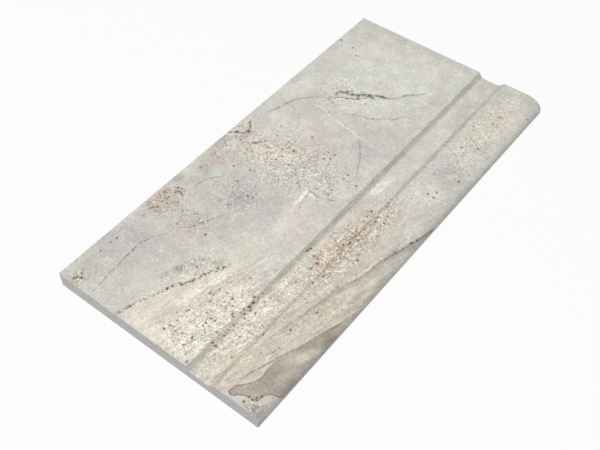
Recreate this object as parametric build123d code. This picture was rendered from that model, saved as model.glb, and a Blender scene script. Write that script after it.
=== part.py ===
from build123d import *
import os

# A porcelain coping tile for the edge of a pool, fired as one piece. Sizes are in millimetres.
# +X runs along the pool edge, -Y faces the water, +Y faces the deck and +Z is up.
# The origin is in the bed face, at the middle of the tile's outline.

# Overall size
LENGTH = 626.0
WIDTH = 310.0
THICKNESS = 23.0

# Rounded nose over the water
NOSE_REACH = 26.0          # how far back from the pool face the nose begins to fall
NOSE_FALL = 16.0           # top face to the upright part of the pool face
NOSE_FOOT_RADIUS = 2.0

# Finger channel behind the lip
LIP_WIDTH = 61.0           # pool face to the channel's near brink
CHANNEL_WIDTH = 42.0       # brink to brink
WALL_DROP = 7.5            # top face to the foot of either wall
FLOOR_DISH = 1.0           # how far the floor sinks below the feet at its middle
LIP_WALL_RUN = 8.0         # how far the flatter wall on the lip side leans over its drop
DECK_WALL_RUN = 5.5        # the same for the steeper wall on the deck side
LIP_BRINK_RADIUS = 3.0
DECK_BRINK_RADIUS = 2.5
LIP_FOOT_RADIUS = 8.0
DECK_FOOT_RADIUS = 4.0

# Outer edges of the body
CORNER_RADIUS = 2.0        # upright corners on the deck side
ARRIS_RADIUS = 1.0         # eased edge round the ends and the deck side

# Keying slots in the bed face
SLOT_WIDTH = 10.0
SLOT_LAND = 10.0           # bed face left between two slots
SLOT_DEPTH = 1.2
SLOT_BORDER = 20.0         # least plain border round the slots

# Places that follow from the sizes above
POOL_Y = -WIDTH / 2
DECK_Y = WIDTH / 2
FOOT_Z = THICKNESS - WALL_DROP
LIP_BRINK = (POOL_Y + LIP_WIDTH, THICKNESS)
LIP_FOOT = (LIP_BRINK[0] + LIP_WALL_RUN, FOOT_Z)
DECK_BRINK = (LIP_BRINK[0] + CHANNEL_WIDTH, THICKNESS)
DECK_FOOT = (DECK_BRINK[0] - DECK_WALL_RUN, FOOT_Z)
FLOOR_LOW = ((LIP_FOOT[0] + DECK_FOOT[0]) / 2, FOOT_Z - FLOOR_DISH)
NOSE_CENTRE = (POOL_Y + NOSE_REACH, THICKNESS - NOSE_FALL)
NOSE_FOOT = (POOL_Y, 0)


def round_corner(outline, corner, radius):
    """Rounds the one corner of a flat outline that lies at the given (Y, Z) place."""
    nearest = outline.vertices().sort_by_distance((0, *corner))[0]
    return fillet(nearest, radius)


def section():
    """The tile's section across the pool edge: deck, channel, lip and nose."""
    deck = Polyline(NOSE_FOOT, (DECK_Y, 0), (DECK_Y, THICKNESS), DECK_BRINK, DECK_FOOT)
    floor = ThreePointArc(DECK_FOOT, FLOOR_LOW, LIP_FOOT)
    nose = EllipticalCenterArc(NOSE_CENTRE, NOSE_REACH, NOSE_FALL, start_angle=90, arc_size=90)
    lip = Polyline(LIP_FOOT, LIP_BRINK, nose @ 0)
    face = Line(nose @ 1, NOSE_FOOT)
    outline = Plane.YZ * make_face(deck + floor + lip + nose + face)
    rounds = (
        (DECK_BRINK, DECK_BRINK_RADIUS),
        (DECK_FOOT, DECK_FOOT_RADIUS),
        (LIP_FOOT, LIP_FOOT_RADIUS),
        (LIP_BRINK, LIP_BRINK_RADIUS),
        (NOSE_FOOT, NOSE_FOOT_RADIUS),
    )
    for corner, radius in rounds:
        outline = round_corner(outline, corner, radius)
    return outline


def at_outer_edge(edge):
    """True for an edge that lies round an end or along the deck side."""
    middle = edge.center()
    by_end = abs(middle.X) > LENGTH / 2 - CORNER_RADIUS
    by_deck = middle.Y > DECK_Y - CORNER_RADIUS
    return by_end or by_deck


def body():
    """The section drawn out to length, with its corners rounded and its outer edges eased."""
    bar = extrude(section(), LENGTH / 2, both=True)
    uprights = bar.edges().filter_by(Axis.Z).group_by(Axis.Y)[-1]
    bar = fillet(uprights, CORNER_RADIUS)
    deck_uprights = bar.edges().filter_by(Axis.Z).filter_by(lambda edge: edge.center().Y > 0)
    rim = bar.edges().filter_by(at_outer_edge) - deck_uprights
    return fillet(rim, ARRIS_RADIUS)


def keying_slots():
    """Shallow round-ended slots along the bed face, inside a plain border."""
    pitch = SLOT_WIDTH + SLOT_LAND
    count = int((WIDTH - 2 * SLOT_BORDER + SLOT_LAND) // pitch)
    slot = extrude(SlotOverall(LENGTH - 2 * SLOT_BORDER, SLOT_WIDTH), SLOT_DEPTH)
    return [place * slot for place in GridLocations(0, pitch, 1, count)]


coping_tile = body() - keying_slots()
os.makedirs("parts", exist_ok=True)
export_step(coping_tile, "parts/coping_tile.step")
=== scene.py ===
import math
from collections import namedtuple

import bmesh
import bpy
import numpy as np
from mathutils import Matrix, Vector, noise

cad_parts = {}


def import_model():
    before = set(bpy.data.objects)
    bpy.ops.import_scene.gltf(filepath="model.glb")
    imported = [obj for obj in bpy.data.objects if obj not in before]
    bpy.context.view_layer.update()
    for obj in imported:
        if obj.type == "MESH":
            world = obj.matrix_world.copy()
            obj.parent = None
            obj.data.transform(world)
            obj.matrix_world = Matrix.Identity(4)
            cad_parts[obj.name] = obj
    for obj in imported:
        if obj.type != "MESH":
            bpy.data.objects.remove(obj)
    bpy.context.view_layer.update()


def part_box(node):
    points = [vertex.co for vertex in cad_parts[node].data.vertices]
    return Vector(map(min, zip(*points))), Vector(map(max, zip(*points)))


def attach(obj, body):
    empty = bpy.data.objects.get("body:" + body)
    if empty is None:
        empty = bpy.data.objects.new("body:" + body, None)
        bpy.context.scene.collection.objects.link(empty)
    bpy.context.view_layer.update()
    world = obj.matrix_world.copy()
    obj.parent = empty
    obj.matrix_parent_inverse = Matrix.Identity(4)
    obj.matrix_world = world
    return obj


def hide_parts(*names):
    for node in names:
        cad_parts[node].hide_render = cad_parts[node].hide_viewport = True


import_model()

NODE = "coping_tile"
LOW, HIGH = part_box(NODE)
MM = 0.001

# Section of the tile, in metres, as the solid has it
POOL_Y = LOW.y
DECK_Y = HIGH.y
TOP_Z = HIGH.z
BED_Z = LOW.z
NOSE_REACH = 0.026
NOSE_FALL = 0.016
NOSE_FOOT_RADIUS = 0.002
LIP_WIDTH = 0.061
CHANNEL_WIDTH = 0.042
WALL_DROP = 0.0075
FLOOR_DISH = 0.001
LIP_WALL_RUN = 0.008
DECK_WALL_RUN = 0.0055
LIP_BRINK_RADIUS = 0.003
DECK_BRINK_RADIUS = 0.0025
LIP_FOOT_RADIUS = 0.008
DECK_FOOT_RADIUS = 0.004
CORNER_RADIUS = 0.002
ARRIS_RADIUS = 0.001
SLOT_WIDTH = 0.010
SLOT_LAND = 0.010
SLOT_DEPTH = 0.0012
SLOT_BORDER = 0.020
SLOT_DRAFT = 0.0006
FEET = slice(4, 6)         # the channel's feet among the corners of the section

# How finely the mesh is cut
MESH_STEP = 0.00175
ARC_STEPS = 4              # least number of steps round a small radius
END_STEPS = (0.0, 0.05, 0.2, 0.5, 0.9, 1.4, 2.0)   # millimetres in from either end
BED_BAND = 0.004           # strip of bed face that belongs to the swept sheet
BED_STEP = 0.016
SLOT_END_STEPS = 8

# Map of the surface
MAP_NAME = "OFBake"
MAP_SPAN = 0.640           # metres of the tile across the square map
MAP_GAP = 0.006            # left free between the parts of the map
BED_SHARE = 0.5            # scale of the bed beside that of the print

# Pressed relief of the fired face; depths in millimetres, reaches in metres
BROAD_RELIEF = 0.30
BROAD_BLOB = (60.0, 38.0, 2.0)   # size along and across in millimetres, and layer of the noise
BROAD_OCTAVES = (0.9, 2.1, 3)    # falloff, step and number
FINE_RELIEF = 0.12
FINE_BLOB = (7.0, 6.0, 9.0)
RELIEF_EDGE = 0.004        # the relief grows to full depth over this much from either end
RELIEF_AT_EDGE = 0.3
PRINT_FOOT_Z = 0.0045      # the print ends here on the nose, and the bare body shows below it
PRINT_FADE = 0.004
DECK_FACING = 0.7          # a section normal that leans to the deck this much is on the deck side

# The stone print is laid out in millimetres, s from the left end and d from the deck edge.
# It slants a little with depth, so that walls and nose take print that isn't drawn out into lines.
PRINT_SLANT = (0.72, 0.42)
DRIFTS = [(32.0, 13.0), (9.0, 5.0), (9.0, 2.6), (3.0, 1.4)]   # size and reach of each waver

# Colours of the print, as 0 to 255 of sRGB
MIST = (210, 208, 199)
PEARL = (219, 218, 209)
SLATE = (193, 191, 184)
STEEL = (189, 185, 182)
LILAC = (199, 194, 186)
LICHEN = (213, 212, 197)
CREAM = (233, 224, 207)
IVORY = (235, 228, 214)
WHITE = (247, 244, 237)
BLUSH = (220, 211, 202)
BEIGE = (212, 204, 192)
PUTTY = (208, 201, 192)
TAN = (204, 195, 180)
STRAW = (219, 213, 197)
SAND = (201, 187, 168)
OCHRE = (203, 180, 154)
ROSE = (194, 182, 171)
OLIVE = (181, 174, 158)
MOSS = (172, 171, 157)
RUST = (182, 156, 132)
TAUPE = (167, 155, 142)
UMBER = (134, 118, 101)
SMOKE = (150, 148, 140)
DUSK = (146, 135, 120)
ASH = (108, 106, 98)
PIT = (96, 85, 72)
BODY = (184, 184, 181)
PETAL = (217, 201, 190)
LEAF = (204, 210, 195)
PLUM = (191, 187, 188)

Patch = namedtuple("Patch", "s d along across colour strength turn", defaults=(0,))
Field = namedtuple("Field", "s d along across strength turn", defaults=(0,))
Course = namedtuple("Course", "points half colour broken sunk wash", defaults=(0.0, None))

# Soft patches of the print in the order in which they are laid: middle, half length, half breadth,
# colour, strength, and degrees that the length is turned from s towards d
PATCHES = [Patch(*row) for row in [
    (66, 22, 78, 26, SLATE, 0.9),
    (58, 18, 26, 13, STEEL, 0.6),
    (70, 34, 84, 40, STEEL, 0.6),
    (66, 66, 74, 30, LILAC, 0.9),
    (100, 52, 30, 16, STEEL, 0.5),
    (34, 86, 40, 11, LICHEN, 0.4),
    (118, 84, 40, 24, LILAC, 0.6),
    (34, 24, 40, 18, TAN, 0.45),
    (13, 24, 15, 12, RUST, 0.55),
    (162, 20, 36, 25, ROSE, 1.0),
    (152, 68, 22, 40, ROSE, 0.65),
    (168, 84, 32, 16, ROSE, 0.6, 35),
    (150, 112, 24, 16, PETAL, 0.4),
    (176, 112, 30, 20, LILAC, 0.9),
    (145, 6, 6, 6, UMBER, 0.6),
    (202, 6, 12, 7, OLIVE, 0.9),
    (222, 28, 24, 20, SLATE, 0.8),
    (218, 78, 50, 44, SLATE, 0.9),
    (242, 124, 56, 28, SLATE, 0.85),
    (230, 92, 26, 20, STEEL, 0.85),
    (225, 86, 14, 12, SMOKE, 0.35),
    (256, 20, 28, 18, ROSE, 0.9),
    (286, 8, 18, 9, TAUPE, 0.7),
    (318, 92, 48, 92, BEIGE, 1.0),
    (310, 82, 18, 46, CREAM, 0.35),
    (332, 106, 18, 20, CREAM, 0.3),
    (350, 140, 38, 66, PUTTY, 0.9, 18),
    (278, 54, 15, 32, TAN, 0.7),
    (322, 24, 18, 10, TAUPE, 0.55),
    (364, 44, 34, 18, PEARL, 0.8, -15),
    (362, 44, 20, 8, LICHEN, 0.6, -15),
    (374, 84, 30, 26, BLUSH, 0.7),
    (350, 100, 20, 40, ROSE, 0.3, 20),
    (326, 188, 34, 12, BLUSH, 0.6, -10),
    (420, 134, 48, 76, SLATE, 0.2),
    (480, 106, 56, 50, PEARL, 1.0),
    (402, 168, 40, 28, STEEL, 0.35),
    (550, 102, 104, 112, PEARL, 0.9),
    (596, 82, 18, 42, BEIGE, 0.7),
    (442, 22, 38, 16, PEARL, 0.8),
    (470, 150, 30, 40, PEARL, 0.6),
    (474, 164, 24, 30, LICHEN, 0.9),
    (510, 124, 16, 16, BLUSH, 0.5),
    (562, 146, 38, 26, PEARL, 0.8),
    (528, 194, 10, 16, SAND, 0.5),
    (618, 110, 9, 124, SLATE, 0.5),
    (602, 34, 26, 18, SLATE, 0.45),
    (97, 107, 12, 7, MOSS, 1.0),
    (97, 107, 7, 4, SMOKE, 0.4),
    (78, 102, 10, 5, MOSS, 0.9, 10),
    (112, 120, 17, 9, MOSS, 0.25, 25),
    (86, 114, 16, 7, MOSS, 0.45, 20),
    (129, 141, 12, 6, MOSS, 0.8, 25),
    (170, 152, 34, 20, LICHEN, 0.7),
    (50, 166, 108, 54, CREAM, 1.0, 12),
    (50, 180, 84, 36, IVORY, 0.9, 12),
    (14, 118, 22, 13, CREAM, 0.6),
    (34, 142, 30, 10, SAND, 0.55, 12),
    (96, 148, 66, 8, IVORY, 1.0, 14),
    (114, 170, 48, 9, PUTTY, 1.0, 11),
    (106, 156, 40, 6, WHITE, 0.9, 20),
    (42, 197, 40, 18, WHITE, 0.45, 10),
    (232, 192, 64, 16, BEIGE, 0.8),
    (268, 184, 40, 17, PUTTY, 0.9),
    (240, 164, 54, 15, BLUSH, 0.95, -14),
    (212, 161, 26, 14, IVORY, 0.45, -10),
    (70, 230, 96, 18, CREAM, 1.0),
    (160, 230, 60, 18, STRAW, 0.7),
    (125, 248, 52, 9, SAND, 0.6),
    (222, 246, 58, 26, OCHRE, 1.0, 4),
    (290, 238, 40, 12, SAND, 0.8),
    (252, 248, 34, 13, RUST, 0.9, 4),
    (312, 260, 44, 15, SAND, 0.7),
    (352, 224, 28, 7, WHITE, 0.4, 8),
    (440, 247, 190, 5, MOSS, 0.35),
    (450, 228, 96, 16, MIST, 0.8),
    (536, 232, 20, 14, OLIVE, 0.5),
    (64, 260, 100, 20, SAND, 0.95, 12),
    (150, 292, 90, 28, SAND, 0.8, 12),
    (205, 293, 40, 11, LICHEN, 0.8, 20),
    (250, 278, 58, 16, TAN, 0.9),
    (165, 266, 80, 15, SAND, 0.9, 8),
    (168, 260, 44, 14, CREAM, 0.3, 8),
    (275, 298, 24, 10, OLIVE, 0.3, 12),
    (374, 276, 34, 26, PEARL, 0.7),
    (428, 284, 28, 26, STEEL, 0.7),
    (468, 278, 28, 26, BLUSH, 0.9),
    (548, 284, 70, 26, STRAW, 0.95),
    (576, 284, 26, 15, BLUSH, 0.8),
    (510, 262, 26, 12, LICHEN, 0.8),
    (520, 308, 110, 14, PEARL, 0.8),
    (616, 286, 12, 32, SLATE, 0.3),
]]

# Veins, cracks and ridges: (s, d, weight) along each, half width in millimetres, colour,
# how broken up, depth pressed in, and (width, strength) of the wash on the side of larger d
COURSES = [Course(*row) for row in [
    ([(0, 97, 0.4), (20, 102, 0.7), (36, 107, 0.6), (50, 113, 0.7), (72, 121, 0.8), (91, 134, 0.9),
      (107, 139, 0.9), (130, 151, 0.8), (150, 158, 0)], 2.6, UMBER, 0.9, 0.22),
    ([(0, 53, 0.5), (23, 50, 0.7), (44, 48, 0.6), (65, 46, 0.7), (81, 44, 1), (91, 44, 1),
      (100, 46, 0.8), (118, 54, 0.4), (126, 66, 0)], 1.8, DUSK, 0.7, 0.12),
    ([(138, 62, 0), (144, 69, 0.6), (151, 76, 0.6), (165, 82, 0.9), (174, 87, 1),
      (184, 92, 0.7), (200, 98, 0)], 2.6, DUSK, 0.7, 0.15),
    ([(192, 31, 0), (201, 34, 0.9), (213, 34, 0.8), (225, 38, 0.8), (238, 48, 0.7), (250, 57, 0)],
     1.6, SMOKE, 0.5, 0.10),
    ([(366, 17, 0), (390, 25, 0.8), (409, 30, 0.8), (420, 37, 0.8), (436, 50, 0.7), (450, 69, 0.7),
      (467, 76, 0.9), (472, 88, 1), (482, 104, 1), (492, 122, 1), (499, 136, 0.6), (505, 144, 0.4),
      (516, 150, 0.9), (530, 164, 0.8), (540, 174, 0)], 2.4, SMOKE, 0.5, 0.30),
    ([(458, 66, 0), (470, 80, 0.6), (482, 104, 0.7), (494, 126, 0.6), (504, 142, 0)],
     6.0, SMOKE, 0.9),
    ([(462, 68, 0), (469, 77, 1), (473, 90, 1), (482, 104, 1), (490, 117, 1), (495, 128, 0.8),
      (500, 138, 0)], 3.6, ASH, 0.75, 0.20),
    ([(440, 66, 0), (454, 76, 0.7), (466, 95, 1), (476, 107, 1), (486, 120, 0)],
     2.4, ASH, 0.75, 0.12),
    ([(429, 99, 0), (438, 113, 0.8), (444, 126, 0.8), (447, 138, 0.9), (453, 147, 0.9), (461, 156, 0.5),
      (466, 165, 0.7), (479, 175, 0.6), (484, 190, 0)], 1.8, SMOKE, 0.6, 0.10),
    ([(421, 56, 0), (425, 72, 0.8), (416, 96, 0.6), (413, 122, 0.8), (409, 144, 0.6), (405, 174, 0.3),
      (402, 198, 0)], 1.6, WHITE, 0.45),
    ([(408, 149, 0), (392, 161, 0.9), (379, 171, 0.9), (358, 182, 0.6), (331, 202, 0.2)],
     1.5, SMOKE, 0.4, 0.12),
    ([(291, 177, 0), (293, 184, 0.8), (295, 192, 1), (295, 203, 0)], 1.7, SMOKE, 0.4, 0.12),
    # The ridge with a hook at its right end is drawn in light and dark: its white courses are a painted
    # highlight on its deck side and its left side, and its olive and dusk courses, pressed in as a shallow
    # crease, carry painted shade on its pool side and its right side
    ([(239, 166, 0), (259, 155, 0.7), (270, 154, 1), (282, 153, 1), (290, 152, 0.2)],
     2.6, WHITE, 0.25),
    ([(242, 172, 0), (262, 162, 0.7), (273, 159, 0.9), (284, 157, 0.9), (291, 155, 0)],
     1.7, OLIVE, 0.4, 0.15),
    ([(288, 152, 0.2), (290, 160, 1), (285, 172, 0)], 1.6, DUSK, 0.4, 0.15),
    ([(285, 155, 0), (286, 162, 1), (282, 170, 0)], 1.8, WHITE, 0.3),
    ([(90, 257, 0), (121, 265, 0.4), (160, 272, 0.7), (188, 277, 0.7), (211, 286, 0.8),
      (247, 293, 0.8), (273, 300, 1), (299, 308, 1), (328, 316, 0.9)],
     2.4, DUSK, 0.25, 0.18, (14.0, 0.5)),
    ([(0, 222, 0.6), (24, 229, 0.8), (53, 240, 0.7), (76, 245, 0.6), (94, 249, 0)],
     1.5, OLIVE, 0.5, 0.10),
    ([(2, 242, 0.2), (10, 243, 0.9), (27, 246, 0.8), (42, 250, 0)], 1.4, OLIVE, 0.5, 0.08),
    ([(24, 265, 0.3), (37, 269, 0.9), (48, 273, 0.9), (70, 280, 0.9), (85, 286, 0.9), (105, 294, 0.9),
      (128, 300, 0.8), (144, 307, 0.7), (161, 311, 0.3)], 1.6, DUSK, 0.25, 0.15),
    ([(504, 261, 0), (495, 278, 0.8), (484, 295, 0.8), (481, 308, 0.2)], 1.7, OLIVE, 0.4, 0.12),
    ([(362, 70, 0), (377, 69, 0.7), (385, 62, 0.7), (394, 53, 0)], 1.8, OLIVE, 0.5, 0.10),
    ([(402, 32, 0.4), (400, 40, 0.8), (399, 48, 0)], 1.6, SMOKE, 0.4, 0.10),
    ([(340, 226, 0), (352, 227, 0.6), (361, 226, 0.7), (372, 229, 0.5), (388, 227, 0)],
     1.8, WHITE, 0.7),
    ([(328, 220, 0), (342, 218, 0.6), (355, 217, 0.6), (368, 219, 0)], 1.8, WHITE, 0.7),
    ([(308, 3, 0.6), (314, 12, 1), (321, 22, 0)], 2.4, ASH, 0.5, 0.12),
    ([(341, 11, 0.4), (334, 17, 1), (327, 21, 0)], 2.2, UMBER, 0.5, 0.12),
    ([(306, 36, 0), (313, 43, 0.9), (322, 54, 0)], 2.0, UMBER, 0.5, 0.10),
    ([(138, 14, 0), (144, 15, 0.9), (150, 20, 0.9), (160, 19, 0.9), (173, 20, 1),
      (186, 22, 1), (192, 23, 0)], 2.2, UMBER, 0.6, 0.10),
    ([(150, 52, 0), (157, 55, 0.5), (166, 60, 0.8), (172, 69, 0.8), (174, 78, 0)],
     2.0, DUSK, 0.9, 0.10),
    ([(186, 20, 0), (185, 27, 1), (180, 36, 0)], 1.5, UMBER, 0.5, 0.08),
]]

# The brown bloom in the near pool corner lies below its upper edge and to the right of its left edge
BLOOM_UPPER = [(5, 265), (10, 265), (15, 266), (19, 269), (24, 274), (32, 279), (40, 282), (48, 281),
               (59, 280), (70, 282), (85, 287), (105, 294), (128, 300), (161, 311)]
BLOOM_LEFT = [(5, 265), (4, 270), (8, 276), (12, 282), (13, 287), (14, 292), (18, 297), (25, 300),
              (30, 305), (30, 312), (34, 324)]
BLOOM_PATCHES = [
    Patch(37, 273, 16, 6, ROSE, 0.6, 28),
    Patch(92, 305, 26, 8, LICHEN, 0.7, 25),
    Patch(4, 298, 15, 17, OLIVE, 0.8),
    Patch(6, 306, 14, 9, SMOKE, 0.4),
    Patch(18, 304, 8, 4, PEARL, 0.8, 25),
    Patch(18, 274, 12, 5, SAND, 0.25, 30),
    Patch(56, 299, 12, 5, BLUSH, 0.3, 20),
    Patch(60, 294, 20, 8, TAUPE, 0.5, 20),
]

# Pits that stand out in the print: s, d and radius
PITS = [
    (21, 154, 2.6), (28, 156, 1.9), (103, 211, 3.2), (110, 211, 3.0), (78, 128, 2.4), (91, 134, 2.8),
    (107, 139, 2.8), (63, 118, 2.6), (70, 120, 2.6), (123, 145, 2.8), (84, 248, 2.2),
    (210, 213, 2.6), (215, 214, 2.8), (176, 248, 2.4), (325, 22, 4.6),
    (333, 94, 3.0), (315, 10, 3.4), (340, 12, 3.2), (304, 262, 2.6), (251, 247, 2.8), (310, 238, 2.6),
    (298, 306, 3.0), (306, 310, 3.0), (99, 222, 2.6), (19, 102, 2.6), (64, 118, 2.2), (583, 312, 2.5),
    (7, 20, 3.0), (13, 27, 2.6), (17, 21, 2.2), (51, 186, 2.2), (31, 188, 2.2),
    (65, 193, 2.2), (57, 159, 2.2), (6, 286, 2.4), (10, 22, 2.6),
    (13, 292, 2.6), (15, 296, 2.4), (22, 297, 2.6), (14, 287, 2.2),
    (97, 208, 2.2), (91, 213, 2.4), (86, 217, 2.2), (84, 202, 2.2), (40, 210, 2.3), (5, 204, 2.2),
    (36, 107, 2.2), (128, 150, 2.6),
    (263, 49, 2.6), (313, 43, 2.6), (347, 135, 2.4), (422, 298, 2.8), (561, 5, 3.2),
    (545, 44, 2.8), (557, 30, 2.4),
]
RINGS = [(338, 125, 6.0), (614, 81, 5.5)]

# Fields in which the print is coarse and pitted; the strength is how much
FIELDS = [Field(*row) for row in [
    (60, 186, 90, 36, 0.9, 12),
    (13, 24, 15, 13, 1.2),
    (100, 230, 130, 20, 0.85, 4),
    (232, 246, 90, 30, 1.2, 4),
    (300, 252, 64, 22, 1.1),
    (162, 22, 38, 24, 0.9),
    (158, 66, 24, 34, 0.5),
    (314, 104, 52, 100, 1.0),
    (290, 14, 52, 18, 0.8),
    (464, 84, 40, 50, 0.5, 30),
    (224, 88, 40, 38, 0.6),
    (510, 276, 140, 32, 0.5),
    (390, 276, 76, 30, 0.25, 6),
    (130, 272, 110, 22, 0.35, 10),
    (66, 24, 80, 28, 0.12),
    (108, 120, 40, 14, 0.7, 25),
    (6, 299, 15, 14, 0.9),
]]
PIT_SHARE = 0.48           # of the cells, where a field is full
PIT_PITCH = 9.0
STREAK_FIELDS = [
    Field(60, 186, 150, 80, 1.0, 12),
    Field(150, 262, 260, 76, 1.0, 10),
]
STREAK_TURN = 13
Streak = namedtuple("Streak", "along across colour strength")
STREAKS = [
    Streak(60.0, 7.0, SAND, 0.50),
    Streak(60.0, 6.0, IVORY, 0.50),
    Streak(75.0, 9.0, ROSE, 0.40),
]
FLOWS = [(110.0, 17.0), (80.0, 11.0)]   # length and breadth of the folds whose edges show as lines
FLOW_LINE = (0.004, 0.020, OLIVE, 0.80)
# Pale band along one side of each fold's line: a painted highlight, as if the fold's edge caught the light
FLOW_PAINTED_HIGHLIGHT = (0.012, 0.055, IVORY, 0.55)
Fleck = namedtuple("Fleck", "size least most colour strength")
FLECKS = [
    Fleck(2.8, 0.22, 0.30, UMBER, 0.80),
    Fleck(2.3, 0.25, 0.35, WHITE, 0.65),
    Fleck(5.0, 0.20, 0.26, DUSK, 0.55),
]
FLECK_EDGE = 0.025
THICKEST = 1.3             # most that coarse and clumped print comes to for the flecks
Tinge = namedtuple("Tinge", "size colour strength")
TINGES = [
    Tinge(30.0, PETAL, 0.18),
    Tinge(24.0, LEAF, 0.26),
    Tinge(38.0, PLUM, 0.22),
]
Grain = namedtuple("Grain", "size least most low high")
GRAINS = [
    Grain(2.4, 0.08, 0.18, 0.36, 0.64),
    Grain(5.5, 0.05, 0.13, 0.32, 0.68),
    Grain(17.0, 0.05, 0.05, 0.30, 0.70),
]
Web = namedtuple("Web", "pitch half colour strength everywhere")
WEBS = [
    Web(11.0, 0.09, DUSK, 0.22, 0.0),
    Web(24.0, 0.032, WHITE, 0.50, 0.3),
    Web(38.0, 0.03, SMOKE, 0.45, 0.4),
]
PATCH_CORE = 0.35          # a patch is full out to this share of its radius
PATCH_RIM = 1.25
PIT_OVAL = 0.78
RAGGED = (4.0, 0.5)        # size and reach of the print's uneven edge
RAGGED_FOOT = (15.0, 6.0)  # the same along the foot of the nose
# The painted shade on the channel's walls fades out across LIP_MIDDLE
LIP_MIDDLE = (252.0, 262.0)  # d across which the darkening of the walls ends
BARE_TIP = (4.0, 22.0, 6.0)  # s across which the print's foot climbs to the left end, and how far
PRINT_EDGE = (0.2, 0.7)      # millimetres in at which the print starts and is full

# Painted shade on the channel's walls: upward facing at which the print on a wall starts to darken and is
# darkest, and by how much
PAINTED_SLOPE_SHADE = (0.90, 0.60, 0.09)

# Ranges of noise: where a fade starts and ends, and its height at the start and, if not 0, at the end
NOISE_MIDDLE = 0.5
CURVE_MIDDLE = 0.5         # height of a course's straight line in its curve
BREAKS = (0.60, 0.40)      # for whatever is broken up
GROUND_CLOUD = (0.62, 0.40, 0.45)
# Patchiness of the painted shade on the channel's walls
PAINTED_SLOPE_CLOUD = (0.40, 0.60, 1.5, 0.5)
BLOOM_CLOUD = (0.60, 0.40, 0.95, 0.65)
CLUMP = (0.34, 0.64, 1.5, 0.5)
TINGE_RANGE = (0.66, 0.50)
STREAK_RANGE = (0.64, 0.52)
STREAK_LEAST = 0.4
WEB_RANGE = (0.58, 0.44)

# Edges and strengths of marks; an edge says where a mark is full and where it ends
COURSE_UNEVEN = 2.4        # of the half width, by how far the edge wanders
COURSE_CORE = 0.25
WEB_CORE = 0.3
BLOOM_EDGE = (0.6, -0.6)
BLOOM_REACH = (0.80, 1.05)           # shares of the upper edge
BLOOM_RIM = (0.3, 1.7)
BLOOM_RIM_PLACE = 0.4
BLOOM_RIM_REACH = (0.20, 0.50, 0.75)
PIT_PICK = 0.03
PIT_RADIUS = (0.18, 0.13)  # spread and least, in cells
PIT_EDGE = (0.4, 1.1)
PIT_STRENGTH = 0.75
PLACED_PIT_EDGE = (0.35, 1.0)
PLACED_PIT_STRENGTH = 0.92
RING_INNER = (0.9, 0.55)
RING_OUTER = (0.8, 1.15)
RING_STRENGTH = 0.6

# Fired body and skin: (swing, least) of brightness and roughness
BODY_SPECK = (0.16, 0.92)
BODY_CLOUD = (0.10, 0.95)
ROUGHNESS = (0.16, 0.52)
SPECULAR = 0.4
BUMP_STRENGTH = 0.5
BUMP_DEPTH = 0.0003

# Size of each noise in millimetres, detail where it isn't the usual, and where in the noise it lies
CLOUD_SIZE = 46.0
CLOUD_DETAIL = 4.0
STREAK_DETAIL = 3.0
FLOW_DETAIL = 1.5
BROKEN_SIZE = 5.0
BODY_SPECK_SIZE = 1.3
BODY_CLOUD_SIZE = 24.0
MATT_SIZE = 9.0
SKIN_SIZE = 2.4
CLOUD_SEED = 11
STREAK_SEED = 12
BROKEN_SEED = 16
PIT_SEED = 18
GRAIN_SEED = 21
FOOT_SEED = 25
EDGE_SEED = 26
BODY_SPECK_SEED = 27
BODY_CLOUD_SEED = 28
MATT_SEED = 29
SKIN_SEED = 30
WEB_SEED = 31
TINGE_SEED = 34
FLOW_SEED = 37
FLECK_SEED = 40
NOISE_STEP = (97, 53)      # steps from seed to seed
PIT_STEP = (41, 67)
WEB_STEP = (31, 59)

# Studio
PHOTO_WIDTH = 600          # pixels
FOCAL_PIXELS = 897.3
SENSOR_WIDTH = 36.0
CAMERA_AZIMUTH = -51.564
CAMERA_ELEVATION = 50.069
CAMERA_ROLL = -0.306
CAMERA_TARGET = (-0.05963, -0.01281, -0.002)
CAMERA_DISTANCE = 1.1515
FLOOR_SIZE = 12.0
FLOOR_COLOUR = (0.8, 0.8, 0.8, 1.0)
FLOOR_GLOW = 0.85
FILL_LIGHT = 0.28
LAMP_SIZE = 2.6
LAMP_POWER = 245.0
LAMP_PLACE = (-2.0, 0.1, 5.0)


# Section


def section_corners():
    """Corners of the section and their radii, from the bed under the deck side over to that under the nose.

    The corner with no radius is where the nose's ellipse goes.
    """
    lip_brink = POOL_Y + LIP_WIDTH
    deck_brink = lip_brink + CHANNEL_WIDTH
    foot_z = TOP_Z - WALL_DROP
    return [
        (DECK_Y - BED_BAND, BED_Z, 0.0),
        (DECK_Y, BED_Z, ARRIS_RADIUS),
        (DECK_Y, TOP_Z, ARRIS_RADIUS),
        (deck_brink, TOP_Z, DECK_BRINK_RADIUS),
        (deck_brink - DECK_WALL_RUN, foot_z, DECK_FOOT_RADIUS),
        (lip_brink + LIP_WALL_RUN, foot_z, LIP_FOOT_RADIUS),
        (lip_brink, TOP_Z, LIP_BRINK_RADIUS),
        (POOL_Y, TOP_Z, None),
        (POOL_Y, BED_Z, NOSE_FOOT_RADIUS),
        (POOL_Y + BED_BAND, BED_Z, 0.0),
    ]


def rounded_corner(before, corner, after, radius):
    """Points of the arc that rounds one corner of an outline."""
    back = (before - corner).normalized()
    ahead = (after - corner).normalized()
    half = back.angle(ahead) / 2
    centre = corner + (back + ahead).normalized() * (radius / math.sin(half))
    start = corner + back * (radius / math.tan(half)) - centre
    end = corner + ahead * (radius / math.tan(half)) - centre
    sweep = start.angle(end)
    steps = max(ARC_STEPS, math.ceil(sweep * radius / MESH_STEP))
    turns = [k / steps for k in range(steps + 1)]
    swing = [(math.sin((1 - t) * sweep) * start + math.sin(t * sweep) * end) / math.sin(sweep) for t in turns]
    return [centre + arm for arm in swing]


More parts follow.
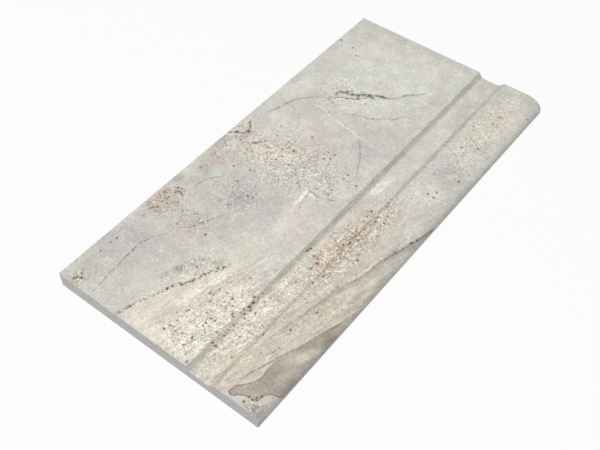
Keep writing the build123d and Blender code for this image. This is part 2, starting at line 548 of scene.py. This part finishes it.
def nose_arc():
    """Points of the elliptical nose from the top face down to the pool face."""
    quarter = math.pi / 2
    steps = math.ceil(quarter * NOSE_REACH / MESH_STEP)
    points = []
    for k in range(steps + 1):
        turn = quarter * k / steps
        y = POOL_Y + NOSE_REACH * (1 - math.sin(turn))
        points.append(Vector((y, TOP_Z - NOSE_FALL * (1 - math.cos(turn)))))
    return points


def section_points():
    """The section as closely spaced points, with the channel's floor dished."""
    corners = section_corners()
    places = [Vector((y, z)) for y, z, radius in corners]
    knots = [places[0]]
    for i in range(1, len(places) - 1):
        radius = corners[i][2]
        if radius is None:
            knots += nose_arc()
        else:
            knots += rounded_corner(places[i - 1], places[i], places[i + 1], radius)
    knots.append(places[-1])
    points = [knots[0]]
    for a, b in zip(knots, knots[1:]):
        steps = max(1, math.ceil((b - a).length / MESH_STEP))
        points += [a.lerp(b, k / steps) for k in range(1, steps + 1)]
    deck_foot, lip_foot = places[FEET]
    middle = (deck_foot.x + lip_foot.x) / 2
    half = (deck_foot.x - lip_foot.x) / 2
    for p in points:
        across = (p.x - middle) / half
        if abs(across) < 1 and p.y > (TOP_Z + BED_Z) / 2:
            p.y -= FLOOR_DISH * (1 - across * across)
    return points


def section_normals(points):
    """Outward normals of the section's points."""
    normals = []
    for i in range(len(points)):
        along = points[min(i + 1, len(points) - 1)] - points[max(i - 1, 0)]
        normals.append(Vector((along.y, -along.x)).normalized())
    return normals


# Mesh


def stations():
    """Places along X at which the section is repeated, closer together at the two eased ends."""
    ends = [step * MM for step in END_STEPS]
    inner = LOW.x + ends[-1]
    count = math.ceil((HIGH.x - LOW.x - 2 * ends[-1]) / MESH_STEP)
    even = np.linspace(inner, HIGH.x - ends[-1], count + 1)[1:-1]
    return [LOW.x + e for e in ends] + list(even) + [HIGH.x - e for e in reversed(ends)]


def end_inset(x, radius):
    """How far the section draws in at x to round the edge of the nearer end."""
    inside = min(x - LOW.x, HIGH.x - x)
    if inside >= radius:
        return 0.0
    return radius - math.sqrt(radius ** 2 - (radius - inside) ** 2)


def course_gap(course, s, d):
    """Distance in millimetres from places in the print to the nearest point of a course."""
    gap = np.full(s.shape, np.inf)
    for (s0, d0, w0), (s1, d1, w1) in zip(course.points, course.points[1:]):
        run = (s1 - s0) ** 2 + (d1 - d0) ** 2
        t = np.clip(((s - s0) * (s1 - s0) + (d - d0) * (d1 - d0)) / run, 0, 1)
        gap = np.minimum(gap, np.hypot(s - s0 - t * (s1 - s0), d - d0 - t * (d1 - d0)))
    return gap


def blob_place(s, d, blob):
    """Place in the noise of the relief."""
    along, across, layer = blob
    return Vector((s / along, d / across, layer))


def relief(s, d):
    """Depth in millimetres to which the pressed stone relief sinks below the flat face."""
    broad = [noise.fractal(blob_place(a, b, BROAD_BLOB), *BROAD_OCTAVES) for a, b in zip(s, d)]
    fine = [noise.noise(blob_place(a, b, FINE_BLOB)) for a, b in zip(s, d)]
    depth = BROAD_RELIEF * (0.5 + 0.5 * np.array(broad)) + FINE_RELIEF * (0.5 + 0.5 * np.array(fine))
    for course in COURSES:
        if course.sunk:
            depth += course.sunk * np.exp(-(course_gap(course, s, d) / course.half) ** 2)
    return np.clip(depth, 0, None)


def sheet_grid(points, normals, along):
    """Vertex places of the swept sheet, one row for each station, with the relief pressed in."""
    rows = []
    for x in along:
        for p, normal in zip(points, normals):
            radius = CORNER_RADIUS if normal.x > DECK_FACING else ARRIS_RADIUS
            inner = p - normal * end_inset(x, radius)
            rows.append((x, inner.x, inner.y))
    grid = np.array(rows).reshape(len(along), len(points), 3)
    z = grid[..., 2]
    facing = np.array([max(normal.y, -normal.x) for normal in normals])
    high = np.clip((z - PRINT_FOOT_Z) / PRINT_FADE, 0, 1)
    end_gap = np.minimum(grid[..., 0] - LOW.x, HIGH.x - grid[..., 0])
    cover = np.clip(facing, 0, 1)[None, :] * high * np.clip(end_gap / RELIEF_EDGE, RELIEF_AT_EDGE, 1)
    s = (grid[..., 0] - LOW.x) / MM + PRINT_SLANT[0] * (z - TOP_Z) / MM
    d = (DECK_Y - grid[..., 1]) / MM - PRINT_SLANT[1] * (z - TOP_Z) / MM
    sink = relief(s.ravel(), d.ravel()).reshape(s.shape) * cover * MM
    grid[..., 1] -= sink * np.array([n.x for n in normals])
    grid[..., 2] -= sink * np.array([n.y for n in normals])
    return grid


def slot_outline(centre_y, inset, z):
    """Round-ended outline of one keying slot, drawn in by an inset."""
    radius = SLOT_WIDTH / 2
    reach = (HIGH.x - LOW.x) / 2 - SLOT_BORDER - radius
    middle = (HIGH.x + LOW.x) / 2
    outline = []
    for side in (1, -1):
        for k in range(SLOT_END_STEPS + 1):
            turn = math.pi * (k / SLOT_END_STEPS - 0.5)
            x = middle + side * (reach + (radius - inset) * math.cos(turn))
            outline.append((x, centre_y + side * (radius - inset) * math.sin(turn), z))
    return outline


def slot_rows():
    """Middle lines of the keying slots."""
    pitch = SLOT_WIDTH + SLOT_LAND
    count = int((DECK_Y - POOL_Y - 2 * SLOT_BORDER + SLOT_LAND + MM) // pitch)
    middle = (DECK_Y + POOL_Y) / 2
    return [middle + (k - (count - 1) / 2) * pitch for k in range(count)]


def add_slot(bm, centre_y):
    """Walls and floor of one slot; returns the edges of its mouth."""
    mouth = [bm.verts.new(place) for place in slot_outline(centre_y, 0.0, BED_Z)]
    floor = [bm.verts.new(place) for place in slot_outline(centre_y, SLOT_DRAFT, BED_Z + SLOT_DEPTH)]
    count = len(mouth)
    for k in range(count):
        after = (k + 1) % count
        bm.faces.new((mouth[k], mouth[after], floor[after], floor[k]))
    bm.faces.new(floor)
    return [bm.edges.get((mouth[k], mouth[(k + 1) % count])) for k in range(count)]


def add_row(bm, grid_row, bed_y, x, with_bed):
    """Vertices of one station: the swept sheet, then the bed face where an end needs it."""
    row = [bm.verts.new(place) for place in grid_row]
    if with_bed:
        lift = end_inset(x, ARRIS_RADIUS)
        row += [bm.verts.new((x, y, BED_Z + lift)) for y in bed_y]
    return row


def section_runs(points):
    """Length of the section left from each of its points to its last."""
    runs = [0.0]
    for a, b in zip(reversed(points), reversed(points[:-1])):
        runs.append(runs[-1] + (a - b).length)
    return runs[::-1]


def unwrap(bm, rows, runs, ends):
    """Lays the swept sheet out flat in one square map, with the bed and the two ends above it."""
    layer = bm.loops.layers.uv.new(MAP_NAME)
    left = {vert: run for row in rows for vert, run in zip(row, runs)}
    above = runs[0] + MAP_GAP
    for face in bm.faces:
        for loop in face.loops:
            x, y, z = loop.vert.co
            if face.smooth:
                place = (x - LOW.x, left[loop.vert])
            elif face == ends[0]:
                place = (MAP_SPAN / 2 + DECK_Y - y, above + z)
            elif face == ends[1]:
                place = (MAP_SPAN / 2 + y - POOL_Y, above + TOP_Z + MAP_GAP + z)
            else:
                place = ((x - LOW.x) * BED_SHARE, above + (DECK_Y - y) * BED_SHARE)
            loop[layer].uv = (place[0] / MAP_SPAN, place[1] / MAP_SPAN)


def tile_mesh():
    """The whole tile as one closed mesh: swept sheet, two ends, and a bed face with keying slots."""
    points = section_points()
    along = stations()
    grid = sheet_grid(points, section_normals(points), along)
    bed_y = list(np.arange(POOL_Y + 2 * BED_BAND, DECK_Y - 2 * BED_BAND, BED_STEP))
    bm = bmesh.new()
    near_end = len(END_STEPS)
    rows = []
    for i, x in enumerate(along):
        with_bed = i < near_end or i >= len(along) - near_end
        rows.append(add_row(bm, grid[i], bed_y, x, with_bed))
    sheet = len(points)
    for a, b in zip(rows, rows[1:]):
        closed = len(a) == len(b) and len(a) > sheet
        count = len(a) if closed else sheet - 1
        for j in range(count):
            after = (j + 1) % len(a)
            bm.faces.new((a[j], a[after], b[after], b[j])).smooth = j < sheet - 1
    ends = [bm.faces.new(row) for row in (rows[0], rows[-1])]
    rim = []
    inner = rows[near_end - 1:len(rows) - near_end + 1]
    for a, b in zip(inner, inner[1:]):
        rim += [bm.edges.get((a[0], b[0])), bm.edges.get((a[sheet - 1], b[sheet - 1]))]
    for row in (inner[0], inner[-1]):
        bed = row[sheet - 1:] + row[:1]
        rim += [bm.edges.get(pair) for pair in zip(bed, bed[1:])]
    for centre_y in slot_rows():
        rim += add_slot(bm, centre_y)
    bmesh.ops.triangle_fill(bm, use_beauty=True, edges=rim)
    bmesh.ops.recalc_face_normals(bm, faces=bm.faces)
    unwrap(bm, rows, section_runs(points), ends)
    mesh = bpy.data.meshes.new("coping_tile_fired")
    bm.to_mesh(mesh)
    bm.free()
    return mesh


# Print material


def srgb(colour):
    """Linear colour with full alpha from 0 to 255 of sRGB."""
    shares = [c / 255 for c in colour]
    return [c / 12.92 if c <= 0.04045 else ((c + 0.055) / 1.055) ** 2.4 for c in shares] + [1.0]


class Nodes:
    """Builds the node tree of one material or world with short calls.

    Places are kept as plain vectors and turned with dot products, because each change of socket type
    would set the shader's steps out of the order in which they are laid here.
    """

    def __init__(self, holder):
        self.holder = holder
        holder.use_nodes = True
        self.tree = holder.node_tree
        self.tree.nodes.clear()

    def add(self, kind, inputs, **settings):
        node = self.tree.nodes.new("ShaderNode" + kind)
        for key, value in settings.items():
            setattr(node, key, value)
        for key, value in inputs.items():
            if isinstance(value, bpy.types.NodeSocket):
                self.tree.links.new(value, node.inputs[key])
            else:
                node.inputs[key].default_value = value
        return node

    def math(self, operation, a, b=0.0, c=0.0):
        return self.add("Math", {0: a, 1: b, 2: c}, operation=operation).outputs[0]

    def vector(self, operation, a, b, c=(0, 0, 0)):
        return self.add("VectorMath", {0: a, 1: b, 2: c}, operation=operation).outputs[0]

    def dot(self, a, b):
        return self.add("VectorMath", {0: a, 1: b}, operation="DOT_PRODUCT").outputs["Value"]

    def length(self, vector):
        return self.add("VectorMath", {0: vector}, operation="LENGTH").outputs["Value"]

    def split(self, vector):
        return self.add("SeparateXYZ", {0: vector}).outputs

    def join(self, x, y, z=0.0):
        return self.add("CombineXYZ", {0: x, 1: y, 2: z}).outputs[0]

    def fade(self, value, start, end, top=1.0, bottom=0.0):
        """Goes smoothly from top at start to bottom at end, and holds them beyond.

        The smooth step holds its ends by itself. The node's clamp stays off, because Cycles makes it a
        step of its own, and so many of those are more than one shader has room for.
        """
        inputs = {"Value": value, "From Min": start, "From Max": end, "To Min": top, "To Max": bottom}
        node = self.add("MapRange", inputs, interpolation_type="SMOOTHSTEP", clamp=False)
        return node.outputs[0]

    def mix(self, share, a, b):
        return self.add("Mix", {0: share, 6: a, 7: b}, data_type="RGBA").outputs[2]

    def shade(self, colour, factor):
        return self.add("HueSaturation", {"Value": factor, "Color": colour}).outputs[0]

    def turned(self, place, turn):
        """Place on axes turned by degrees from s towards d."""
        if not turn:
            return place
        c, k = math.cos(math.radians(turn)), math.sin(math.radians(turn))
        return self.join(self.dot(place, (c, k, 0)), self.dot(place, (-k, c, 0)))

    def local(self, place, s, d, along, across, turn=0.0):
        """Place seen from (s, d) on turned axes, with lengths counted in along and across."""
        c, k = math.cos(math.radians(turn)), math.sin(math.radians(turn))
        offset = (-(s * c + d * k) / along, -(d * c - s * k) / across, 0)
        return self.vector("MULTIPLY_ADD", self.turned(place, turn), (1 / along, 1 / across, 0), offset)

    def noise(self, place, size, seed, detail=2.0, across=None, turn=0.0):
        """Noise node with blobs of a size in millimetres."""
        s, d = (step * seed for step in NOISE_STEP)
        local = self.local(place, s, d, size, across or size, turn)
        inputs = {"Vector": local, "Scale": 1.0, "Detail": detail}
        return self.add("TexNoise", inputs, noise_dimensions="2D")

    def curve(self, value, knots):
        """Smooth curve through (place, height) knots."""
        node = self.add("FloatCurve", {"Value": value})
        line = node.mapping.curves[0]
        while len(line.points) < len(knots):
            line.points.new(0.5, 0.5)
        for point, knot in zip(line.points, knots):
            point.location = knot
        node.mapping.update()
        return node.outputs[0]

    def waver(self, place, size, reach, seed):
        """Sideways shift of up to about half the reach."""
        shares = self.add("SeparateColor", {0: self.noise(place, size, seed).outputs[1]}).outputs
        return self.vector("MULTIPLY_ADD", self.join(shares[0], shares[1]), (reach, reach, 0),
                           (-reach / 2, -reach / 2, 0))


def tile_place(n):
    """Place on the tile in millimetres: s from the left end, d from the deck edge, h up from the top."""
    spot = n.add("TexCoord", {}).outputs["Object"]
    start = (-LOW.x / MM, DECK_Y / MM, -TOP_Z / MM)
    return n.vector("MULTIPLY_ADD", spot, (1 / MM, -1 / MM, 1 / MM), start)


def print_place(n, flat):
    """Place in the print, which slants with depth."""
    return n.join(n.dot(flat, (1, 0, PRINT_SLANT[0])), n.dot(flat, (0, 1, -PRINT_SLANT[1])))


def print_cover(n, flat, ragged, ragged_foot):
    """1 under the print, 0 on the bare fired body at the ends, the deck side and the bed."""
    s, d, h = n.split(flat)
    ends = n.math("MINIMUM", s, n.math("SUBTRACT", (HIGH.x - LOW.x) / MM, s))
    foot = n.math("ADD", h, (TOP_Z - PRINT_FOOT_Z) / MM)
    foot = n.math("ADD", foot, n.math("MULTIPLY_ADD", ragged_foot, RAGGED_FOOT[1], -RAGGED_FOOT[1] / 2))
    foot = n.math("SUBTRACT", foot, n.fade(s, *BARE_TIP))
    inside = n.math("MINIMUM", n.math("MINIMUM", ends, d), foot)
    inside = n.math("ADD", inside, n.math("MULTIPLY_ADD", ragged, RAGGED[1], -RAGGED[1] / 2))
    return n.fade(inside, PRINT_EDGE[1], PRINT_EDGE[0])


def painted_slope_shade(n, flat, cloud):
    """Brightness of the print on the channel's walls, with painted shade that darkens it patchily the less a
    wall faces up.
    """
    up = n.split(n.add("TexCoord", {}).outputs["Normal"])[2]
    start, end, most = PAINTED_SLOPE_SHADE
    slope = n.math("MULTIPLY", n.fade(up, end, start, most), n.fade(n.split(flat)[1], *LIP_MIDDLE))
    slope = n.math("MULTIPLY", slope, n.fade(cloud, *PAINTED_SLOPE_CLOUD))
    return n.math("SUBTRACT", 1.0, slope)


def patch_cover(n, place, patch):
    """Share of a soft patch at a place."""
    local = n.local(place, patch.s, patch.d, patch.along, patch.across, patch.turn)
    return n.fade(n.length(local), PATCH_CORE, PATCH_RIM, patch.strength)


def widest_cover(n, place, patches):
    """The largest share of several patches at a place."""
    most = patch_cover(n, place, patches[0])
    for patch in patches[1:]:
        most = n.math("MAXIMUM", most, patch_cover(n, place, patch))
    return most


def lay_ground(n, cloud):
    """Pale grey-green ground, clouded with slate."""
    return n.mix(n.fade(cloud, *GROUND_CLOUD), srgb(MIST), srgb(SLATE))


def lay_tinges(n, colour, tinges):
    """Faint clouds of other hues over a colour."""
    for cloud, tinge in zip(tinges, TINGES):
        colour = n.mix(n.fade(cloud, *TINGE_RANGE, tinge.strength), colour, srgb(tinge.colour))
    return colour


def lay_streaks(n, colour, place, streaks, flows, broken):
    """Slanting light and dark streaks of the cream end and the lip, with the edges of folded layers drawn as
    lines that each have a painted highlight along one side.
    """
    field = widest_cover(n, place, STREAK_FIELDS)
    patchy = n.math("MULTIPLY", field, n.fade(broken, *BREAKS, 1.0, STREAK_LEAST))
    for noise_value, streak in zip(streaks, STREAKS):
        share = n.math("MULTIPLY", patchy, n.fade(noise_value, *STREAK_RANGE, streak.strength))
        colour = n.mix(share, colour, srgb(streak.colour))
    for flow in flows:
        side = n.math("SUBTRACT", flow, NOISE_MIDDLE)
        # Painted highlight along one side of the fold's line
        near, far, tint, strength = FLOW_PAINTED_HIGHLIGHT
        lit = n.math("MULTIPLY", n.fade(side, near, far, strength), n.fade(side, near, 0.0))
        colour = n.mix(n.math("MULTIPLY", field, lit), colour, srgb(tint))
        near, far, tint, strength = FLOW_LINE
        share = n.math("MULTIPLY", patchy, n.fade(n.math("ABSOLUTE", side), near, far, strength))
        colour = n.mix(share, colour, srgb(tint))
    return colour


def course_frame(n, place, points):
    """Runs along a course from 0 to 1, and how far a place is to the side of it in millimetres."""
    (s0, d0), (s1, d1) = points[0][:2], points[-1][:2]
    run = math.hypot(s1 - s0, d1 - d0)
    c, k = (s1 - s0) / run, (d1 - d0) / run
    stops = [((point[0] - s0) * c + (point[1] - d0) * k) / run for point in points]
    sides = [CURVE_MIDDLE + ((point[1] - d0) * c - (point[0] - s0) * k) / run for point in points]
    along = n.math("ADD", n.dot(place, (c / run, k / run, 0)), -(s0 * c + d0 * k) / run)
    aside = n.math("ADD", n.dot(place, (-k / run, c / run, 0)), CURVE_MIDDLE - (d0 * c - s0 * k) / run)
    bend = n.curve(along, list(zip(stops, sides)))
    aside = n.math("MULTIPLY", n.math("SUBTRACT", aside, bend), run)
    return along, aside, stops


def lay_course(n, colour, place, course, broken):
    """One vein, crack or ridge over a colour, of uneven width."""
    along, aside, stops = course_frame(n, place, course.points)
    weight = n.curve(along, [(stop, point[2]) for stop, point in zip(stops, course.points)])
    uneven = COURSE_UNEVEN * course.broken * course.half
    gap = n.math("ADD", n.math("ABSOLUTE", aside), n.math("MULTIPLY_ADD", broken, -uneven, uneven / 2))
    share = n.math("MULTIPLY", n.fade(gap, COURSE_CORE * course.half, course.half), weight)
    share = n.math("MULTIPLY", share, n.fade(broken, *BREAKS, 1.0, 1.0 - course.broken))
    if course.wash:
        width, strength = course.wash
        behind = n.math("MULTIPLY", n.fade(aside, 0.0, width, strength), weight)
        behind = n.math("MULTIPLY", behind, n.fade(aside, 0.0, -course.half))
        share = n.math("MAXIMUM", share, behind)
    return n.mix(share, colour, srgb(course.colour))


def lay_bloom(n, colour, place, cloud):
    """The brown bloom in the near pool corner, darkest along its rim."""
    along, below = course_frame(n, place, BLOOM_UPPER)[:2]
    left = course_frame(n, place, BLOOM_LEFT)[1]
    inside = n.math("MINIMUM", below, n.math("MULTIPLY", left, -1.0))
    reach = n.fade(along, *BLOOM_REACH)
    share = n.math("MULTIPLY", n.fade(inside, *BLOOM_EDGE), n.fade(cloud, *BLOOM_CLOUD))
    colour = n.mix(n.math("MULTIPLY", share, reach), colour, srgb(TAUPE))
    for patch in BLOOM_PATCHES:
        colour = n.mix(patch_cover(n, place, patch), colour, srgb(patch.colour))
    rim = n.fade(n.math("ABSOLUTE", n.math("SUBTRACT", inside, BLOOM_RIM_PLACE)), *BLOOM_RIM)
    rim = n.math("MULTIPLY", rim, n.fade(along, *BLOOM_RIM_REACH))
    return n.mix(rim, colour, srgb(UMBER))


def pit_cells(n, place, pitch, seed):
    """Cells of a pitch: distance from the cell's middle, and two numbers of the cell's own."""
    s, d = (step * seed for step in PIT_STEP)
    local = n.local(place, s, d, pitch, pitch)
    cell = n.add("TexVoronoi", {"Vector": local, "Scale": 1.0}, voronoi_dimensions="2D")
    pick, size = n.add("SeparateColor", {0: cell.outputs["Color"]}).outputs[:2]
    return cell.outputs["Distance"], pick, size


def scattered_pits(n, cells, density):
    """Small pits in the share of cells that the density gives."""
    gap, pick, size = cells
    chosen = n.fade(n.math("SUBTRACT", pick, density), -PIT_PICK, PIT_PICK)
    radius = n.math("MULTIPLY_ADD", n.math("MULTIPLY", size, size), *PIT_RADIUS)
    return n.math("MULTIPLY", chosen, n.fade(n.math("DIVIDE", gap, radius), *PIT_EDGE))


def placed_pits(n, place, pits):
    """Oval pits at given places, every other one lying along the tile."""
    nearest = None
    for i, (s, d, radius) in enumerate(pits):
        along, across = (radius, PIT_OVAL * radius) if i % 2 else (PIT_OVAL * radius, radius)
        reach = n.length(n.local(place, s, d, along, across))
        nearest = n.math("MINIMUM", nearest, reach) if nearest else reach
    return n.fade(nearest, *PLACED_PIT_EDGE)


def placed_rings(n, place):
    """Faint ring marks."""
    reaches = [n.length(n.local(place, s, d, radius, radius)) for s, d, radius in RINGS]
    nearest = n.math("MINIMUM", *reaches)
    return n.math("MULTIPLY", n.fade(nearest, *RING_INNER), n.fade(nearest, *RING_OUTER))


def web_lines(n, place, web, seed):
    """Distance from the edges of wide uneven cells."""
    s, d = (step * seed for step in WEB_STEP)
    local = n.local(place, s, d, web.pitch, web.pitch)
    inputs = {"Vector": local, "Scale": 1.0}
    cell = n.add("TexVoronoi", inputs, voronoi_dimensions="2D", feature="DISTANCE_TO_EDGE")
    return cell.outputs["Distance"]


def lay_webs(n, colour, webs, coarse, cloud):
    """Fine broken lines that run together like cracks in stone."""
    patchy = n.fade(cloud, *WEB_RANGE)
    for gap, web in zip(webs, WEBS):
        where = n.math("MAXIMUM", coarse, n.math("MULTIPLY", patchy, web.everywhere))
        share = n.math("MULTIPLY", n.fade(gap, WEB_CORE * web.half, web.half, web.strength), where)
        colour = n.mix(share, colour, srgb(web.colour))
    return colour


def lay_flecks(n, colour, flecks, coarse, clump):
    """Ragged dark and white flecks, most where the print is coarse."""
    thick = n.math("MINIMUM", n.math("MULTIPLY", coarse, clump), THICKEST)
    for value, fleck in zip(flecks, FLECKS):
        brim = n.math("MULTIPLY_ADD", thick, fleck.most - fleck.least, fleck.least)
        share = n.fade(n.math("SUBTRACT", value, brim), -FLECK_EDGE, FLECK_EDGE, fleck.strength)
        colour = n.mix(share, colour, srgb(fleck.colour))
    return colour


def lay_pits(n, colour, place, cells, coarse, clump):
    """Pits over a colour: scattered small ones, then those that stand out."""
    density = n.math("MULTIPLY", n.math("MULTIPLY", coarse, clump), PIT_SHARE)
    colour = n.mix(n.math("MULTIPLY", scattered_pits(n, cells, density), PIT_STRENGTH), colour, srgb(PIT))
    colour = n.mix(n.math("MULTIPLY", placed_pits(n, place, PITS), PLACED_PIT_STRENGTH), colour, srgb(PIT))
    return n.mix(n.math("MULTIPLY", placed_rings(n, place), RING_STRENGTH), colour, srgb(TAUPE))


def lay_grain(n, colour, specks, coarse):
    """Fine grain that lightens and darkens a colour, most where the print is coarse."""
    for speck, grain in zip(specks, GRAINS):
        swing = n.fade(speck, grain.high, grain.low, 1.0, -1.0)
        reach = n.math("MULTIPLY_ADD", coarse, grain.most - grain.least, grain.least)
        colour = n.shade(colour, n.math("MULTIPLY_ADD", swing, reach, 1.0))
    return colour


def bare_body(n, speck, cloud):
    """Colour of the fired body: even grey with fine specks."""
    shade = n.math("MULTIPLY_ADD", speck, *BODY_SPECK)
    shade = n.math("MULTIPLY", shade, n.math("MULTIPLY_ADD", cloud, *BODY_CLOUD))
    return n.shade(srgb(BODY), shade)


def stone_print():
    """Material of the tile: a stone print fired on to the face of a grey porcelain body."""
    n = Nodes(bpy.data.materials.new("stone_print"))
    flat = tile_place(n)
    place = print_place(n, flat)
    around = n.join(n.dot(flat, (1, 1, 0)), n.dot(flat, (0, -1, 1)))
    wavers = [n.waver(place, *drift, seed) for seed, drift in enumerate(DRIFTS)]
    cloud = n.noise(place, CLOUD_SIZE, CLOUD_SEED, CLOUD_DETAIL).outputs[0]
    tinges = [n.noise(place, tinge.size, TINGE_SEED + i).outputs[0] for i, tinge in enumerate(TINGES)]
    streaks = [
        n.noise(place, streak.along, STREAK_SEED + i, STREAK_DETAIL, streak.across, STREAK_TURN).outputs[0]
        for i, streak in enumerate(STREAKS)
    ]
    flows = [n.noise(place, along, FLOW_SEED + i, FLOW_DETAIL, across, STREAK_TURN).outputs[0]
             for i, (along, across) in enumerate(FLOWS)]
    broken = n.noise(place, BROKEN_SIZE, BROKEN_SEED).outputs[0]
    cells = pit_cells(n, place, PIT_PITCH, PIT_SEED)
    flecks = [n.noise(place, fleck.size, FLECK_SEED + i).outputs[0] for i, fleck in enumerate(FLECKS)]
    specks = [n.noise(place, grain.size, GRAIN_SEED + i).outputs[0] for i, grain in enumerate(GRAINS)]
    ragged = n.noise(place, RAGGED[0], EDGE_SEED).outputs[0]
    ragged_foot = n.noise(place, RAGGED_FOOT[0], FOOT_SEED).outputs[0]
    body_speck = n.noise(around, BODY_SPECK_SIZE, BODY_SPECK_SEED).outputs[0]
    body_cloud = n.noise(around, BODY_CLOUD_SIZE, BODY_CLOUD_SEED).outputs[0]
    matt = n.noise(place, MATT_SIZE, MATT_SEED).outputs[0]
    soft = n.vector("ADD", n.vector("ADD", place, wavers[0]), wavers[1])
    webs = [web_lines(n, soft, web, WEB_SEED + i) for i, web in enumerate(WEBS)]
    line = n.vector("ADD", place, wavers[2])
    dotted = n.vector("ADD", place, wavers[3])
    coarse = widest_cover(n, soft, FIELDS)
    clump = n.fade(specks[-1], *CLUMP)
    colour = lay_ground(n, cloud)
    for patch in PATCHES:
        colour = n.mix(patch_cover(n, soft, patch), colour, srgb(patch.colour))
    colour = lay_tinges(n, colour, tinges)
    colour = lay_streaks(n, colour, soft, streaks, flows, broken)
    colour = lay_bloom(n, colour, line, cloud)
    for course in COURSES:
        colour = lay_course(n, colour, line, course, broken)
    colour = lay_webs(n, colour, webs, coarse, specks[-1])
    colour = lay_flecks(n, colour, flecks, coarse, clump)
    colour = lay_pits(n, colour, dotted, cells, coarse, clump)
    colour = lay_grain(n, colour, specks, coarse)
    # Painted shade on the channel's walls
    colour = n.shade(colour, painted_slope_shade(n, flat, cloud))
    cover = print_cover(n, flat, ragged, ragged_foot)
    colour = n.mix(cover, bare_body(n, body_speck, body_cloud), colour)
    rough = n.math("MULTIPLY_ADD", matt, *ROUGHNESS)
    skin = n.noise(place, SKIN_SIZE, SKIN_SEED).outputs[0]
    inputs = {"Strength": BUMP_STRENGTH, "Distance": BUMP_DEPTH, "Height": skin}
    bump = n.add("Bump", inputs).outputs[0]
    inputs = {"Base Color": colour, "Roughness": rough, "Normal": bump, "Specular IOR Level": SPECULAR}
    shader = n.add("BsdfPrincipled", inputs).outputs[0]
    n.add("OutputMaterial", {"Surface": shader})
    return n.holder


# Piece


def fired_tile():
    """The tile that stands for the solid."""
    mesh = tile_mesh()
    mesh.materials.append(stone_print())
    piece = bpy.data.objects.new("coping_tile_fired", mesh)
    bpy.context.scene.collection.objects.link(piece)
    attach(piece, "root")
    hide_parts(NODE)


# Stage


def floor_material():
    """White floor that still takes a shadow; to the camera most of it glows plain white."""
    n = Nodes(bpy.data.materials.new("studio_floor"))
    path = n.add("LightPath", {}).outputs
    seen = n.math("MAXIMUM", path["Is Camera Ray"], path["Is Glossy Ray"])
    seen = n.math("MAXIMUM", seen, path["Is Transmission Ray"])
    cloth = n.add("BsdfDiffuse", {"Color": FLOOR_COLOUR}).outputs[0]
    white = n.add("Emission", {"Strength": 1.0}).outputs[0]
    share = n.math("MULTIPLY", seen, FLOOR_GLOW)
    mixed = n.add("MixShader", {0: share, 1: cloth, 2: white}).outputs[0]
    n.add("OutputMaterial", {"Surface": mixed})
    return n.holder


def floor():
    """Plain floor under the tile."""
    mesh = bpy.data.meshes.new("studio_floor")
    half = FLOOR_SIZE / 2
    corners = [(-half, -half, BED_Z), (half, -half, BED_Z), (half, half, BED_Z), (-half, half, BED_Z)]
    mesh.from_pydata(corners, [], [(0, 1, 2, 3)])
    mesh.materials.append(floor_material())
    plane = bpy.data.objects.new("studio_floor", mesh)
    bpy.context.scene.collection.objects.link(plane)


def world():
    """Even fill light from all round, plain white to the camera."""
    n = Nodes(bpy.data.worlds.new("studio_fill"))
    path = n.add("LightPath", {}).outputs
    seen = n.math("MAXIMUM", path["Is Camera Ray"], path["Is Transmission Ray"])
    inputs = {"Value": seen, "To Min": FILL_LIGHT, "To Max": 1.0}
    strength = n.add("MapRange", inputs).outputs[0]
    shade = n.add("Background", {"Color": (1, 1, 1, 1), "Strength": strength}).outputs[0]
    n.add("OutputWorld", {"Surface": shade})
    bpy.context.scene.world = n.holder


def soft_box():
    """One large soft lamp overhead, a little behind the tile and to its left."""
    lamp = bpy.data.lights.new("soft_box", "AREA")
    lamp.shape = "SQUARE"
    lamp.size = LAMP_SIZE
    lamp.energy = LAMP_POWER
    holder = bpy.data.objects.new("soft_box", lamp)
    holder.location = LAMP_PLACE
    holder.rotation_euler = (-Vector(LAMP_PLACE)).to_track_quat("-Z", "Y").to_euler()
    bpy.context.scene.collection.objects.link(holder)


def camera():
    """Camera at the photograph's viewing angle."""
    a, e, r = (math.radians(angle) for angle in (CAMERA_AZIMUTH, CAMERA_ELEVATION, CAMERA_ROLL))
    back = Vector((math.sin(a) * math.cos(e), -math.cos(a) * math.cos(e), math.sin(e)))
    right = Vector((math.cos(a), math.sin(a), 0))
    up = back.cross(right)
    turned = right * math.cos(r) + up * math.sin(r)
    upright = up * math.cos(r) - right * math.sin(r)
    lens = bpy.data.cameras.new("photo_view")
    lens.sensor_fit = "HORIZONTAL"
    lens.sensor_width = SENSOR_WIDTH
    lens.lens = FOCAL_PIXELS * SENSOR_WIDTH / PHOTO_WIDTH
    viewer = bpy.data.objects.new("photo_view", lens)
    place = Matrix((turned, upright, back)).transposed().to_4x4()
    place.translation = Vector(CAMERA_TARGET) + back * CAMERA_DISTANCE
    viewer.matrix_world = place
    bpy.context.scene.collection.objects.link(viewer)
    bpy.context.scene.camera = viewer


fired_tile()
floor()
world()
soft_box()
camera()
bpy.context.scene.view_settings.view_transform = "Standard"
